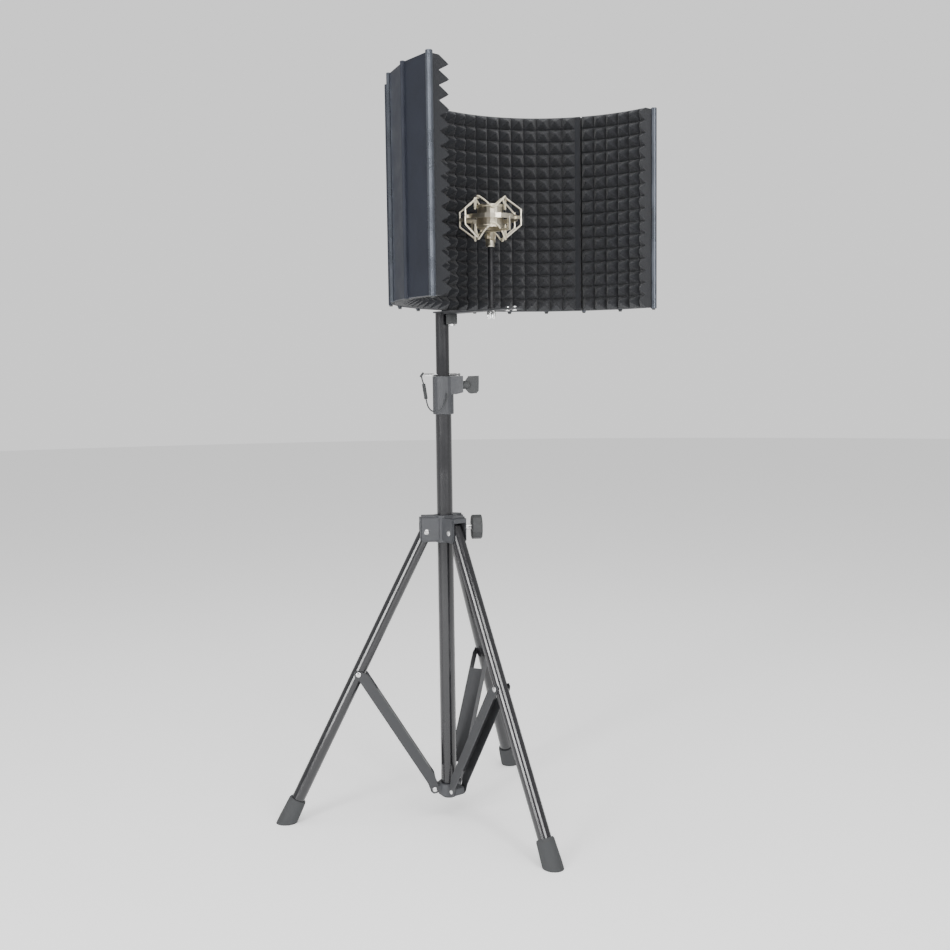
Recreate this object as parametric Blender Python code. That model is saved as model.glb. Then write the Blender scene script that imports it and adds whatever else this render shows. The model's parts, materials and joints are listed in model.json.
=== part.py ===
"""Microphone isolation shield on a folding tripod stand, with a shock mount for the microphone.

Units are metres and +Z is up. The shield opens towards -Y. Lengths are measured from the mast's
axis, and MAST_XY puts that axis where the middle of the object's box is the origin.
"""

import math

import bmesh
import bpy
from mathutils import Matrix, Vector

# ---------------------------------------------------------------- driving dimensions
MAST_XY = (-0.0135, 0.0587)     # the mast's axis, from the middle of the object's box
GAP = 0.0003                    # clearance between touching pieces

# Tripod. Its three legs stand a little turned from the shield, because the head swivels.
LEGS = {"left": 142.0, "front": 262.0, "right": 22.0}   # azimuth of each leg in degrees
KNOB_AZIMUTH = 322.0            # the side that the three clamping knobs and the pin point to
POLE_R, POLE_WALL = 0.015, 0.0015
POLE_LOW, POLE_TOP = 0.040, 0.799
LEG_R, LEG_WALL = 0.0125, 0.0015
LEG_ANGLE = math.radians(26.5)  # from the vertical, spread
RIVET_RADIUS, RIVET_Z = 0.036, 0.550    # pivot of each leg in the hub
RIVET_R = 0.003
LEG_ABOVE_PIVOT = 0.009
LEG_LENGTH = RIVET_Z / math.cos(LEG_ANGLE)              # pivot to the middle of the sole
BRACE_AT = 0.298                # from the hub pivot to the brace's pivot, along the leg
SPREADER_RADIUS, SPREADER_Z = 0.028, 0.054              # pivot of each brace on the pole
HUB_LOW, HUB_HIGH = 0.531, 0.580
HUB_SLOT = 0.0262               # width of the slot that holds a leg
CHEEK = 0.0042                  # thickness of a hub cheek
FOOT_LENGTH, FOOT_R_TOP, FOOT_R_SOLE = 0.050, 0.0158, 0.0182

# Mast and height clamp.
MAST_R, MAST_WALL = 0.0125, 0.0015
MAST_LOW, MAST_HIGH = 0.205, 0.9574
COLLAR_LOW, COLLAR_HIGH, COLLAR_R = 0.770, 0.841, 0.0195
EAR_REACH = 0.037               # how far the clamp's ear reaches from the mast's axis
PIN_R, PIN_TIP, PIN_HEAD = 0.0025, 0.0330, -0.0345      # its ends, from the mast's axis
PIN_Z = COLLAR_HIGH + PIN_R + GAP       # the pin rests on the collar
KNOB_HOLE_R = 0.0034
HUB_KNOB_Z = RIVET_Z + 0.006
HEIGHT_KNOB_Z = COLLAR_HIGH - 0.017

# Shield.
SHIELD_LOW, SHIELD_HEIGHT = 0.962, 0.360
SHIELD_R = 0.275                # outer corners of the panels
ARC_Y = -0.280                  # middle of the half circle, from the mast's axis
RIB_STEP = math.radians(15)     # twelve flat panels over half a circle
HINGE_RIB, END_RIB = 4, 6       # the ribs that the wings turn on and end in, from the middle
PANEL_WALL = 0.0016
RIB_R, END_RIB_R = 0.0042, 0.0056
RIB_PROUD = 0.0015              # ribs stand proud of the panels' top and bottom edges
FOAM_THICK = 0.043

# Head bracket and microphone support.
PLATE_THICK, BAR_THICK = 0.0022, 0.0026
PLATE_TOP = SHIELD_LOW - RIB_PROUD - GAP
BAR_TOP = PLATE_TOP - PLATE_THICK - GAP
PLATE_HALF, PLATE_FRONT = 0.0165, -0.048      # its back is round, about the mast
BAR_WIDTH, BAR_BACK, BAR_FRONT = 0.026, -0.0145, -0.196
CLAMP_KNOB_Y, CLAMP_KNOB_HIGH = -0.0262, 0.0185
BAR_SCREWS_Y, BAR_HOLE_R = (-0.170, -0.187), 0.0023
ROD_Y, ROD_R, ROD_TOP = -0.130, 0.0052, 1.074
SLOT_BACK, SLOT_FRONT, SLOT_HALF = -0.1158, -0.1562, 0.0042
MOUNT_Z = 1.1165                # middle of the shock mount
HOOP_R, HOOP_THICK, HOOP_HEIGHT = 0.0485, 0.0028, 0.0080
CLAMP_R, CLAMP_WALL, CLAMP_HALF = 0.0235, 0.0022, 0.0197
CLAMP_RISE = 0.0030             # middle of the clamp, above the middle of the hoop
ELASTIC_R = 0.0011
ARM_R, ARM_REACH, ARM_POST = 0.0018, 0.0552, 0.0130
LOOP_RADIUS, LOOP_RISE = 0.0270, 0.0350
HOOK_R, HOOK_HALF = 0.0028, 0.0016
ARM_AZIMUTHS = (-57.0, -7.0, 123.0, 173.0)
TILT_Z = 1.0850                 # the shock mount tilts about this height

ORIGIN = Matrix.Translation((MAST_XY[0], MAST_XY[1], 0.0))


# ---------------------------------------------------------------- scene helpers
def clear_scene():
    for thing in list(bpy.data.objects):
        bpy.data.objects.remove(thing, do_unlink=True)


def material(name, color, roughness, metallic=0.0):
    made = bpy.data.materials.new(name)
    made.use_nodes = True
    shader = made.node_tree.nodes["Principled BSDF"]
    shader.inputs["Base Color"].default_value = (*color, 1.0)
    shader.inputs["Roughness"].default_value = roughness
    shader.inputs["Metallic"].default_value = metallic
    made.diffuse_color = (*color, 1.0)
    return made


def spin(degrees):
    """A turn about the mast's axis."""
    return Matrix.Rotation(math.radians(degrees), 4, "Z")


def empty(name, matrix):
    """A parent that sits on a joint's axis."""
    made = bpy.data.objects.new(name, None)
    bpy.context.scene.collection.objects.link(made)
    made.matrix_world = ORIGIN @ matrix
    return made


def add(name, mesh, mat, parent=None, matrix=None):
    """One sub-part. matrix is relative to the parent, or to the mast's axis without one."""
    made = bpy.data.objects.new(name, mesh)
    bpy.context.scene.collection.objects.link(made)
    mesh.materials.clear()
    mesh.materials.append(mat)
    mesh.shade_smooth()
    mesh.set_sharp_from_angle(angle=math.radians(35))
    place = matrix if matrix is not None else Matrix.Identity(4)
    if parent is None:
        made.matrix_world = ORIGIN @ place
    else:
        made.parent = parent
        made.matrix_local = place
    return made


def mesh_of(shape):
    bmesh.ops.recalc_face_normals(shape, faces=shape.faces)
    mesh = bpy.data.meshes.new("shape")
    shape.to_mesh(mesh)
    shape.free()
    return mesh


def moved(mesh, matrix):
    mesh.transform(matrix)
    return mesh


# ---------------------------------------------------------------- solid shapes
def solid_ring(profile, steps=24):
    """A closed outline of (radius, z) points turned about Z; points on the axis are shared."""
    shape = bmesh.new()
    rings = []
    for radius, z in profile:
        if radius < 1e-7:
            rings.append([shape.verts.new((0.0, 0.0, z))] * steps)
            continue
        angles = [2 * math.pi * i / steps for i in range(steps)]
        rings.append([shape.verts.new((radius * math.cos(a), radius * math.sin(a), z)) for a in angles])
    for k, ring in enumerate(rings):
        other = rings[(k + 1) % len(rings)]
        for i in range(steps):
            j = (i + 1) % steps
            corners = []
            for vert in (ring[i], ring[j], other[j], other[i]):
                if vert not in corners:
                    corners.append(vert)
            if len(corners) > 2:
                shape.faces.new(corners)
    return mesh_of(shape)


def rod(radius, low, high, steps=24, chamfer=0.0):
    """A solid round bar along Z."""
    c = chamfer
    profile = [(0.0, low), (radius - c, low), (radius, low + c),
               (radius, high - c), (radius - c, high), (0.0, high)]
    if c == 0.0:
        profile = [(0.0, low), (radius, low), (radius, high), (0.0, high)]
    return solid_ring(profile, steps)


def tube(radius, wall, low, high, steps=24):
    """A tube along Z that is open at both ends."""
    return solid_ring([(radius, low), (radius, high), (radius - wall, high), (radius - wall, low)], steps)


def slab(outline, low, high):
    """A flat outline of (x, y) points, raised from low to high."""
    shape = bmesh.new()
    face = shape.faces.new([shape.verts.new((x, y, low)) for x, y in outline])
    raised = bmesh.ops.extrude_face_region(shape, geom=[face])["geom"]
    bmesh.ops.translate(shape, vec=(0, 0, high - low),
                        verts=[v for v in raised if isinstance(v, bmesh.types.BMVert)])
    return mesh_of(shape)


def block(size, middle=(0.0, 0.0, 0.0), bevel=0.0, steps=1):
    shape = bmesh.new()
    bmesh.ops.create_cube(shape, size=1.0)
    bmesh.ops.scale(shape, vec=size, verts=shape.verts)
    bmesh.ops.translate(shape, vec=middle, verts=shape.verts)
    if bevel:
        bmesh.ops.bevel(shape, geom=list(shape.edges), offset=bevel, segments=steps, affect="EDGES")
    return mesh_of(shape)


def rounded_outline(half_x, low_y, high_y, radius, steps=4):
    """A rectangle with round corners."""
    points = []
    corners = ((half_x, high_y, 0), (-half_x, high_y, 90), (-half_x, low_y, 180), (half_x, low_y, 270))
    for x, y, start in corners:
        cx = x - math.copysign(radius, x)
        cy = y - radius if y == high_y else y + radius
        for k in range(steps + 1):
            a = math.radians(start + 90 * k / steps)
            points.append((cx + radius * math.cos(a), cy + radius * math.sin(a)))
    return points


def star_outline(reach, half):
    """Three arms of equal width, one towards each leg."""
    points = []
    for azimuth in sorted(LEGS.values()):
        turn = Matrix.Rotation(math.radians(azimuth), 2)
        corners = ((reach, -half), (reach, half), (half / math.sqrt(3), half))
        points += [tuple(turn @ Vector(corner)) for corner in corners]
    return points


def beveled(mesh, width, steps=2):
    shape = bmesh.new()
    shape.from_mesh(mesh)
    bmesh.ops.bevel(shape, geom=list(shape.edges), offset=width, segments=steps, affect="EDGES")
    return mesh_of(shape)


def slot_outline(half_width, back, front, steps=6):
    """A slot along Y with round ends."""
    points = []
    for y, start in ((back - half_width, 0), (front + half_width, 180)):
        for k in range(steps + 1):
            a = math.radians(start + 180 * k / steps)
            points.append((half_width * math.cos(a), y + half_width * math.sin(a)))
    return points


def boolean(mesh, other, operation="DIFFERENCE"):
    """mesh with other cut away from it, or joined to it."""
    base = bpy.data.objects.new("base", mesh)
    tool = bpy.data.objects.new("tool", other)
    for thing in (base, tool):
        bpy.context.scene.collection.objects.link(thing)
    cut = base.modifiers.new("cut", "BOOLEAN")
    cut.operation, cut.object, cut.solver = operation, tool, "EXACT"
    graph = bpy.context.evaluated_depsgraph_get()
    made = bpy.data.meshes.new_from_object(base.evaluated_get(graph), depsgraph=graph)
    for thing in (base, tool):
        bpy.data.objects.remove(thing, do_unlink=True)
    return made


def join(mesh, *others):
    for other in others:
        mesh = boolean(mesh, other, "UNION")
    return mesh


def cut(mesh, *others):
    for other in others:
        mesh = boolean(mesh, other, "DIFFERENCE")
    return mesh


def along(mesh, start, end):
    """A mesh made along Z from 0, turned so that it runs from start towards end."""
    way = Vector(end) - Vector(start)
    turn = way.to_track_quat("Z", "Y").to_matrix().to_4x4()
    return moved(mesh, Matrix.Translation(start) @ turn)


def strut(start, end, radius, steps=8):
    return along(rod(radius, 0.0, (Vector(end) - Vector(start)).length, steps), start, end)


def cross_pin(radius, half_length, head_r, head_thick, steps=12):
    """A rivet along Y with a low head at each end."""
    tip = half_length + head_thick
    profile = [(0.0, -tip), (head_r * 0.7, -tip), (head_r, -half_length - GAP), (radius, -half_length - GAP),
               (radius, half_length + GAP), (head_r, half_length + GAP), (head_r * 0.7, tip), (0.0, tip)]
    return moved(solid_ring(profile, steps), Matrix.Rotation(math.radians(90), 4, "X"))


def hole_along_y(radius, middle, half_length=0.04, steps=12):
    turned = moved(rod(radius, -half_length, half_length, steps), Matrix.Rotation(math.radians(90), 4, "X"))
    return moved(turned, Matrix.Translation(middle))


def star_knob(radius, thick, lobes, depth=0.06, chamfer=0.0015):
    """A round knob along Z with shallow flutes, from z = 0 to thick."""
    shape = bmesh.new()
    steps = lobes * 3
    rings = []
    for z, inset in ((0.0, chamfer), (chamfer, 0.0), (thick - chamfer, 0.0), (thick, chamfer)):
        ring = []
        for i in range(steps):
            a = 2 * math.pi * i / steps
            r = (radius - inset) * (1 - depth * (0.5 - 0.5 * math.cos(lobes * a)))
            ring.append(shape.verts.new((r * math.cos(a), r * math.sin(a), z)))
        rings.append(ring)
    for low, high in zip(rings, rings[1:]):
        for i in range(steps):
            j = (i + 1) % steps
            shape.faces.new((low[i], low[j], high[j], high[i]))
    shape.faces.new(rings[0])
    shape.faces.new(rings[-1])
    return mesh_of(shape)


# ---------------------------------------------------------------- tripod
def lower_pole(paint, plastic):
    pole = tube(POLE_R, POLE_WALL, POLE_LOW, POLE_TOP)
    add("pole_lower_tube", pole, paint)
    inner = POLE_R - POLE_WALL - GAP
    profile = [(0.0, POLE_LOW - 0.0042), (POLE_R - 0.002, POLE_LOW - 0.0042), (POLE_R, POLE_LOW - 0.0025),
               (POLE_R, POLE_LOW - GAP), (inner, POLE_LOW - GAP), (inner, POLE_LOW + 0.014),
               (0.0, POLE_LOW + 0.014)]
    add("pole_bottom_cap", solid_ring(profile), plastic)


def spreader(cast):
    """The collar near the pole's foot, with a lug for each brace."""
    low, high = SPREADER_Z - 0.012, SPREADER_Z + 0.010
    ring = tube(0.0205, 0.0205 - POLE_R - GAP, low, high)
    bore = rod(POLE_R + GAP, low - 0.01, high + 0.01)
    lugs = slab(star_outline(SPREADER_RADIUS + 0.0075, 0.0118), SPREADER_Z - 0.0075, SPREADER_Z + 0.0075)
    ring = cut(join(ring, beveled(lugs, 0.0016)), bore)
    for azimuth in LEGS.values():
        hole = hole_along_y(RIVET_R + GAP, (SPREADER_RADIUS, 0, SPREADER_Z))
        ring = cut(ring, moved(hole, spin(azimuth)))
    add("spreader_collar", ring, cast)


def hub(cast, steel):
    """The sliding hub: a sleeve on the pole with a hooded fork for each leg."""
    at_rest = empty("hub_axis", Matrix.Identity(4))
    arms = slab(star_outline(RIVET_RADIUS + 0.0125, HUB_SLOT / 2 + CHEEK), HUB_LOW, HUB_HIGH)
    sleeve = join(rod(0.0222, HUB_LOW - 0.0008, HUB_HIGH + 0.0008, 24, 0.001), beveled(arms, 0.0036, 2))
    boss = moved(rod(0.0105, 0.0, 0.0285, 20), Matrix.Rotation(math.radians(90), 4, "Y"))
    boss = moved(boss, spin(KNOB_AZIMUTH) @ Matrix.Translation((0, 0, HUB_KNOB_Z)))
    sleeve = join(sleeve, boss)
    for azimuth in LEGS.values():
        top, bottom = RIVET_Z + 0.0185, HUB_LOW - 0.02
        slot = block((0.06, HUB_SLOT, top - bottom), (POLE_R + 0.0345, 0, (top + bottom) / 2))
        hole = hole_along_y(RIVET_R + GAP, (RIVET_RADIUS, 0, RIVET_Z))
        sleeve = cut(sleeve, moved(slot, spin(azimuth)), moved(hole, spin(azimuth)))
    screw_hole = moved(rod(KNOB_HOLE_R, 0.0, 0.05, 12), Matrix.Rotation(math.radians(90), 4, "Y"))
    screw_hole = moved(screw_hole, spin(KNOB_AZIMUTH) @ Matrix.Translation((0.010, 0, HUB_KNOB_Z)))
    sleeve = cut(sleeve, rod(POLE_R + 0.0004, HUB_LOW - 0.01, HUB_HIGH + 0.01), screw_hole)
    add("hub_casting", sleeve, cast, at_rest)
    for name, azimuth in LEGS.items():
        rivet = cross_pin(RIVET_R, HUB_SLOT / 2 + CHEEK, 0.0052, 0.0018)
        place = spin(azimuth) @ Matrix.Translation((RIVET_RADIUS, 0, RIVET_Z))
        add(f"hub_rivet_{name}", rivet, steel, at_rest, place)


def side_axis(z):
    """Along the knobs' direction, with local Z pointing out from the mast."""
    return spin(KNOB_AZIMUTH) @ Matrix.Translation((0, 0, z)) @ Matrix.Rotation(math.radians(90), 4, "Y")


def hub_knob(plastic, steel):
    axis = empty("hub_knob_axis", side_axis(HUB_KNOB_Z))
    screw = solid_ring([(0.0, POLE_R + 0.0008), (0.003, POLE_R + 0.0008), (0.003, 0.036), (0.0058, 0.0365),
                        (0.0058, 0.0495), (0.0, 0.0495)], 16)
    add("hub_knob_screw", screw, steel, axis)
    knob = star_knob(0.0232, 0.0195, 10)
    add("hub_knob", knob, plastic, axis, Matrix.Translation((0, 0, 0.0498)))


def leg_frame(azimuth):
    """Local -Z runs down the leg from its pivot."""
    place = spin(azimuth) @ Matrix.Translation((RIVET_RADIUS, 0, RIVET_Z))
    return place @ Matrix.Rotation(-LEG_ANGLE, 4, "Y")


def leg(name, azimuth, paint, rubber, steel):
    axis = empty(f"leg_{name}_axis", leg_frame(azimuth))
    tube_end = -(LEG_LENGTH - 0.0165)
    shell = tube(LEG_R, LEG_WALL, tube_end, LEG_ABOVE_PIVOT, 24)
    for down in (0.0, BRACE_AT):
        shell = cut(shell, hole_along_y(RIVET_R + GAP, (0, 0, -down), 0.03))
    add(f"leg_tube_{name}", shell, paint, axis)
    shank = hole_along_y(RIVET_R, (0, 0, -BRACE_AT), HUB_SLOT / 2 - GAP)
    add(f"brace_rivet_{name}", shank, steel, axis)
    add(f"foot_{name}", boot(tube_end), rubber, axis)


def boot(tube_end):
    """A rubber boot over the leg's end, cut level with the floor."""
    low = -LEG_LENGTH - 0.012
    top = -LEG_LENGTH + FOOT_LENGTH
    inner = LEG_R + GAP
    core = LEG_R - LEG_WALL - GAP
    profile = [(0.0, low), (FOOT_R_SOLE, low), (FOOT_R_SOLE, -LEG_LENGTH + 0.010),
               (FOOT_R_TOP + 0.0008, top - 0.004), (FOOT_R_TOP - 0.0006, top), (inner, top),
               (inner, tube_end - GAP), (core, tube_end - GAP),
               (core, tube_end + 0.012), (0.0, tube_end + 0.012)]
    mesh = solid_ring(profile, 24)
    below = block((1.0, 0.2, 0.1), (0, 0, -0.05))
    to_local = Matrix.Rotation(LEG_ANGLE, 4, "Y") @ Matrix.Translation((-RIVET_RADIUS, 0, -RIVET_Z))
    return cut(mesh, moved(below, to_local))


def brace_shape(length):
    """A pressed channel along Z from its pivot on the pole, with a round ear at each end.

    Its far ear carries the rivet's heads. The rivet's shank stays with the leg.
    """
    inner = HUB_SLOT / 2
    wall = 0.0013
    deep_low, deep_high = 0.018, length - 0.004
    sides = []
    for side in (-1, 1):
        near, far = side * inner, side * (inner + wall)
        strip = [(-0.0143, deep_low + 0.004), (-0.0143, deep_high - 0.006), (-0.0085, deep_high + 0.003),
                 (0.0, length + 0.0090), (0.0060, length + 0.0068), (0.0085, length - 0.0015),
                 (0.0055, length - 0.012), (0.0048, deep_low), (0.0080, 0.003), (0.0068, -0.0052),
                 (0.0, -0.0085), (-0.0064, -0.0055), (-0.0084, 0.003), (-0.0100, 0.010)]
        plate = slab(strip, min(near, far), max(near, far))
        sides.append(moved(plate, Matrix.Rotation(math.radians(90), 4, "X")))
    web = block((wall, 2 * inner + wall, length - 0.080), (-0.0143 + wall / 2, 0, length / 2 - 0.004))
    made = join(web, *sides)
    for side in (-1, 1):
        seat, top = side * (inner + wall / 2), side * (inner + wall + 0.0016)
        made = join(made, strut((0, seat, length), (0, top, length), 0.0050, 12))
    return cut(made, hole_along_y(RIVET_R + GAP, (0, 0, 0), 0.03))


def brace(name, azimuth, dark, steel):
    out = RIVET_RADIUS + BRACE_AT * math.sin(LEG_ANGLE) - SPREADER_RADIUS
    up = RIVET_Z - BRACE_AT * math.cos(LEG_ANGLE) - SPREADER_Z
    place = spin(azimuth) @ Matrix.Translation((SPREADER_RADIUS, 0, SPREADER_Z))
    axis = empty(f"brace_{name}_axis", place @ Matrix.Rotation(math.atan2(out, up), 4, "Y"))
    add(f"brace_{name}", brace_shape(math.hypot(out, up)), dark, axis)
    pin = cross_pin(RIVET_R, HUB_SLOT / 2 + 0.0013, 0.0046, 0.0014)
    add(f"spreader_pin_{name}", pin, steel, None, place)


# ---------------------------------------------------------------- height clamp and mast
def height_collar(plastic, dark):
    """The clamp sleeve on top of the lower tube, with an ear that its screw passes through."""
    sleeve = rod(COLLAR_R, COLLAR_LOW, COLLAR_HIGH, 24, 0.0012)
    outline = [(0.0, -0.0165), (0.0, 0.0165), (0.026, 0.0120), (EAR_REACH, 0.0105), (EAR_REACH, -0.0105),
               (0.026, -0.0120)]
    ear = slab(outline, COLLAR_HIGH - 0.034, COLLAR_HIGH)
    wedge = block((0.08, 0.06, 0.03), (0.0435, 0, -0.015))
    slope = Matrix.Translation((0, 0, COLLAR_HIGH - 0.040)) @ Matrix.Rotation(math.radians(-14), 4, "Y")
    wedge = moved(wedge, slope)
    ear = cut(ear, wedge)
    sleeve = join(sleeve, moved(ear, spin(KNOB_AZIMUTH)))
    lip = COLLAR_HIGH - 0.0025
    bore = solid_ring([(0.0, COLLAR_LOW - 0.01), (POLE_R + GAP, COLLAR_LOW - 0.01), (POLE_R + GAP, lip),
                       (MAST_R + 0.0006, lip), (MAST_R + 0.0006, COLLAR_HIGH + 0.01),
                       (0.0, COLLAR_HIGH + 0.01)])
    screw_hole = moved(rod(KNOB_HOLE_R, 0.010, 0.06, 12), side_axis(HEIGHT_KNOB_Z))
    add("height_collar", cut(sleeve, bore, screw_hole), plastic)
    bush_r, bush_bore_r = POLE_R - 0.0001, MAST_R + 0.0004
    bush = tube(bush_r, bush_r - bush_bore_r, POLE_TOP + GAP, lip - GAP)
    screw_hole = moved(rod(KNOB_HOLE_R, 0.010, 0.06, 12), side_axis(HEIGHT_KNOB_Z))
    add("collar_bushing", cut(bush, screw_hole), dark)


def height_knob(plastic, steel):
    """A wing knob on the clamp's screw."""
    axis = empty("height_knob_axis", side_axis(HEIGHT_KNOB_Z))
    screw = solid_ring([(0.0, MAST_R + 0.0008), (0.003, MAST_R + 0.0008), (0.003, EAR_REACH + 0.0045),
                        (0.0, EAR_REACH + 0.0045)], 16)
    add("height_knob_screw", screw, steel, axis)
    reach = EAR_REACH + GAP
    neck = rod(0.0078, reach, reach + 0.012, 20, 0.0006)
    wing = [(-0.0070, reach + 0.004), (-0.0165, reach + 0.0105), (-0.0170, reach + 0.0300),
            (-0.0060, reach + 0.0300), (0.0110, reach + 0.0295), (0.0158, reach + 0.0255),
            (0.0165, reach + 0.0150), (0.0150, reach + 0.0110), (0.0070, reach + 0.004)]
    plate = moved(slab(wing, -0.0034, 0.0034), Matrix.Rotation(math.radians(90), 4, "X"))
    knob = cut(join(neck, plate), rod(0.0033, reach - 0.01, EAR_REACH + 0.0048, 16))
    add("height_knob", knob, plastic, axis)


def mast(paint):
    pole = tube(MAST_R, MAST_WALL, MAST_LOW, MAST_HIGH)
    hole = moved(rod(PIN_R + GAP, -0.03, 0.03, 12), side_axis(PIN_Z))
    add("mast_tube", cut(pole, hole), paint)


def safety_pin(chrome, dark):
    tip, head = PIN_TIP, PIN_HEAD
    axis = empty("safety_pin_axis", side_axis(PIN_Z))
    profile = [(0.0, head), (PIN_R, head), (PIN_R, tip - 0.0075), (0.0016, tip - 0.0065),
               (0.0016, tip - 0.0045), (PIN_R, tip - 0.0030), (PIN_R, tip - 0.0012), (0.0012, tip),
               (0.0, tip)]
    add("safety_pin", solid_ring(profile, 16), chrome, axis)
    disc = rod(0.0052, -0.0019, 0.0019, 16, 0.0006)
    tilt = Matrix.Translation((0, 0, head - 0.0047)) @ Matrix.Rotation(math.radians(38), 4, "Y")
    add("safety_pin_head", moved(disc, tilt), dark, axis)


# The lanyard hangs from the pin's head: u runs along the knobs' direction, v across it towards
# the shield's open side, and z is the height.
LANYARD_R = 0.0013
COIL_R = 0.0036
COIL_TOP, COIL_END = (-0.0370, -0.0120, 0.8270), (-0.0330, -0.0150, 0.7990)
LANYARD_TOP = [(-0.0402, -0.0062, 0.8425), (-0.0398, -0.0088, 0.8370), (-0.0385, -0.0108, 0.8315),
               (-0.0372, -0.0119, 0.8274)]
LANYARD_LOOP = [(-0.0329, -0.0151, 0.7986), (-0.0316, -0.0163, 0.7915), (-0.0290, -0.0185, 0.7835),
                (-0.0240, -0.0215, 0.7775), (-0.0165, -0.0242, 0.7755), (-0.0080, -0.0256, 0.7785),
                (-0.0010, -0.0256, 0.7860), (0.0035, -0.0250, 0.7950), (0.0058, -0.0244, 0.8030)]


def curve_point(a, b, c, d, t):
    """A point between b and c of a smooth curve through four points."""
    return 0.5 * ((2 * b) + (c - a) * t + (2 * a - 5 * b + 4 * c - d) * t * t
                  + (3 * b - a - 3 * c + d) * t ** 3)


def smooth_route(points, step):
    """Points at about step apart on a smooth curve through the route's own points."""
    whole = [Vector(p) for p in points]
    ends = [2 * whole[0] - whole[1]] + whole + [2 * whole[-1] - whole[-2]]
    route = []
    for a, b, c, d in zip(ends, ends[1:], ends[2:], ends[3:]):
        count = max(2, round((c - b).length / step))
        for k in range(count):
            route.append(curve_point(a, b, c, d, k / count))
    route.append(whole[-1])
    return route


def cord(name, points, radius, mat, frame):
    curve = bpy.data.curves.new(name, "CURVE")
    curve.dimensions = "3D"
    curve.bevel_depth = radius
    curve.bevel_resolution = 2
    curve.use_fill_caps = True
    spline = curve.splines.new("POLY")
    route = smooth_route(points, 2.5 * 2 * radius)
    spline.points.add(len(route) - 1)
    for point, place in zip(spline.points, route):
        point.co = (*place, 1.0)
    curve.materials.append(mat)
    made = bpy.data.objects.new(name, curve)
    bpy.context.scene.collection.objects.link(made)
    made.matrix_world = ORIGIN @ frame
    return made


def lanyard(rubber):
    frame = spin(KNOB_AZIMUTH)
    cord("lanyard_top_cord", LANYARD_TOP, LANYARD_R, rubber, frame)
    cord("lanyard_loop_cord", LANYARD_LOOP, LANYARD_R, rubber, frame)
    coil = strut(COIL_TOP, COIL_END, COIL_R, 12)
    add("lanyard_coil", coil, rubber, None, frame)
    end = Vector(LANYARD_LOOP[-1])
    way = (end - Vector(LANYARD_LOOP[-2])).normalized()
    knot = strut(end + way * GAP, end + way * 0.0062, 0.0024, 12)
    add("lanyard_end_knot", knot, rubber, None, frame)


# ---------------------------------------------------------------- shield
def arc_point(radius, angle, z=0.0):
    """A point of the shield; angle is from the middle of its back, positive towards +X."""
    return Vector((radius * math.sin(angle), ARC_Y + radius * math.cos(angle), z))


def facet_outline(outer, inner, first, last, trim_first=0.0, trim_last=0.0):
    """The plan of the panels between two ribs; trims shorten the two ends along the panels."""
    def row(radius):
        points = [arc_point(radius, k * RIB_STEP) for k in range(first, last + 1)]
        points[0] += (points[1] - points[0]).normalized() * trim_first
        points[-1] += (points[-2] - points[-1]).normalized() * trim_last
        return [(p.x, p.y) for p in points]
    return row(outer) + row(inner)[::-1]


def rib_bar(k, radius, steps=12, longer=0.0):
    place = arc_point(SHIELD_R, k * RIB_STEP)
    low, high = SHIELD_LOW - RIB_PROUD - longer, SHIELD_LOW + SHIELD_HEIGHT + RIB_PROUD + longer
    return moved(rod(radius, low, high, steps, 0.0006), Matrix.Translation(place))


def shell(first, last, trim_first, trim_last):
    """Flat panels and the ribs between them."""
    low, high = SHIELD_LOW, SHIELD_LOW + SHIELD_HEIGHT
    made = slab(facet_outline(SHIELD_R, SHIELD_R - PANEL_WALL, first, last, trim_first, trim_last), low, high)
    for k in range(first + 1, last):
        made = join(made, rib_bar(k, RIB_R))
    inside = facet_outline(SHIELD_R - PANEL_WALL, SHIELD_R - 0.012, first, last, -0.01, -0.01)
    return cut(made, slab(inside, low - 0.01, high + 0.01))


def foam(first, last, trim_first, trim_last):
    outer = SHIELD_R - PANEL_WALL - GAP
    inner = SHIELD_R - FOAM_THICK
    outline = facet_outline(outer, inner, first, last, trim_first, trim_last)
    return slab(outline, SHIELD_LOW + 0.0004, SHIELD_LOW + SHIELD_HEIGHT - 0.0008)


def end_rib(side):
    """The bead at a wing's free edge. The end of the foam behind it is bare."""
    return rib_bar(side * END_RIB, END_RIB_R, 16)


def shield(metal, rib_metal, foam_grey):
    hinge, end = HINGE_RIB, END_RIB
    room = RIB_R + GAP + 0.0002
    end_room = END_RIB_R + GAP
    add("shell_center", shell(-hinge, hinge, room, room), metal)
    add("foam_center", foam(-hinge, hinge, 0.0002, 0.0002), foam_grey)
    for name, side in (("left", -1), ("right", 1)):
        axis = empty(f"wing_{name}_axis", Matrix.Translation(arc_point(SHIELD_R, side * hinge * RIB_STEP)))
        back = Matrix.Translation(-arc_point(SHIELD_R, side * hinge * RIB_STEP))
        first, last = (hinge, end) if side > 0 else (-end, -hinge)
        trims = (room, end_room) if side > 0 else (end_room, room)
        add(f"shell_{name}", shell(first, last, *trims), metal, axis, back)
        trims = (0.0002, 0.0012) if side > 0 else (0.0012, 0.0002)
        pad = cut(foam(first, last, *trims), rib_bar(side * hinge, room, 20, 0.01))
        add(f"foam_{name}", pad, foam_grey, axis, back)
        add(f"end_rib_{name}", cut(end_rib(side), end_clear(side)), rib_metal, axis, back)
        add(f"hinge_rib_{name}", hinge_rib(side), rib_metal)


def end_clear(side):
    """The room that the wing's panel and foam need at the end rib."""
    outer, inner = SHIELD_R - PANEL_WALL, SHIELD_R - FOAM_THICK - 0.01
    first, last = (HINGE_RIB, END_RIB) if side > 0 else (-END_RIB, -HINGE_RIB)
    trims = (0.0, 0.0006) if side > 0 else (0.0006, 0.0)
    outline = facet_outline(outer, inner, first, last, *trims)
    return slab(outline, SHIELD_LOW - 0.01, SHIELD_LOW + SHIELD_HEIGHT + 0.01)


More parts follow.
